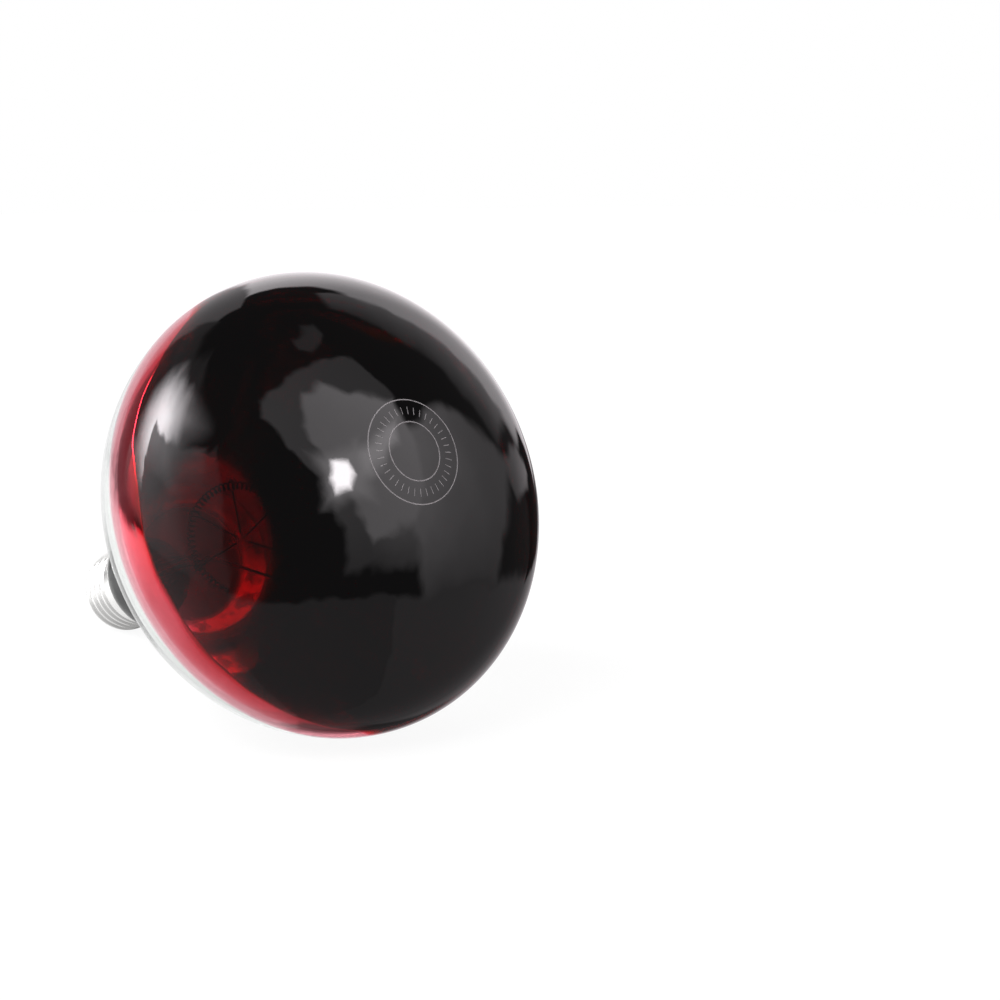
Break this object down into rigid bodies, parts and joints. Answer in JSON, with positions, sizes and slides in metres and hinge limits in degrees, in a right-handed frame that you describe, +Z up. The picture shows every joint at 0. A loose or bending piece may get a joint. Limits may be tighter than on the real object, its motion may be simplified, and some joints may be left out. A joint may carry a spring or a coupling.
{
  "type": "infrared reflector heat lamp bulb",
  "caption": "Mushroom-shaped infrared heat lamp with a ruby glazed face, silvered reflector and screw cap, lying on its rim and cap.",
  "frame": {"origin": "centre of the lying lamp's bounding box, on the surface it lies on", "axes": "+Z up; the lamp lies in the YZ plane with its face towards -Y, tilted up, and its screw cap towards +Y, on the surface"},
  "size_m": [0.1252, 0.1686, 0.1205],
  "materials": {
    "clear_glass": "blown, glossy",
    "ruby_glaze": "fired ruby glaze, glossy",
    "silvering": "vapour-coated aluminium mirror",
    "nickel_sheet": "rolled, bright satin",
    "black_glass": "cast black glass",
    "brass_plate": "stamped",
    "solder": "dull tin solder",
    "cement": "baked cement, matt",
    "stem_glass": "drawn glass",
    "tungsten": "drawn wire, dull grey",
    "nickel_wire": "drawn wire",
    "copper_wire": "drawn copper-coated wire",
    "molybdenum_wire": "drawn wire"
  },
  "bodies": {
    "root": {"glass_bulb": "clear_glass", "ruby_face_coat": "ruby_glaze", "silver_reflector_coat": "silvering", "screw_shell": "nickel_sheet", "black_glass_insulator": "black_glass", "centre_contact": "brass_plate", "centre_solder": "solder", "side_solder": "solder", "basing_cement": "cement", "flare_stem": "stem_glass", "exhaust_tube": "stem_glass", "arbor_rod": "stem_glass", "filament": "tungsten", "lead_right": "nickel_wire", "lead_left": "nickel_wire", "seal_wire_right": "copper_wire", "seal_wire_left": "copper_wire", "centre_tail_wire": "copper_wire", "side_tail_wire": "copper_wire", "support_wire_1": "molybdenum_wire", "support_wire_2": "molybdenum_wire", "support_wire_3": "molybdenum_wire", "support_wire_4": "molybdenum_wire", "support_wire_5": "molybdenum_wire"}
  },
  "joints": []
}
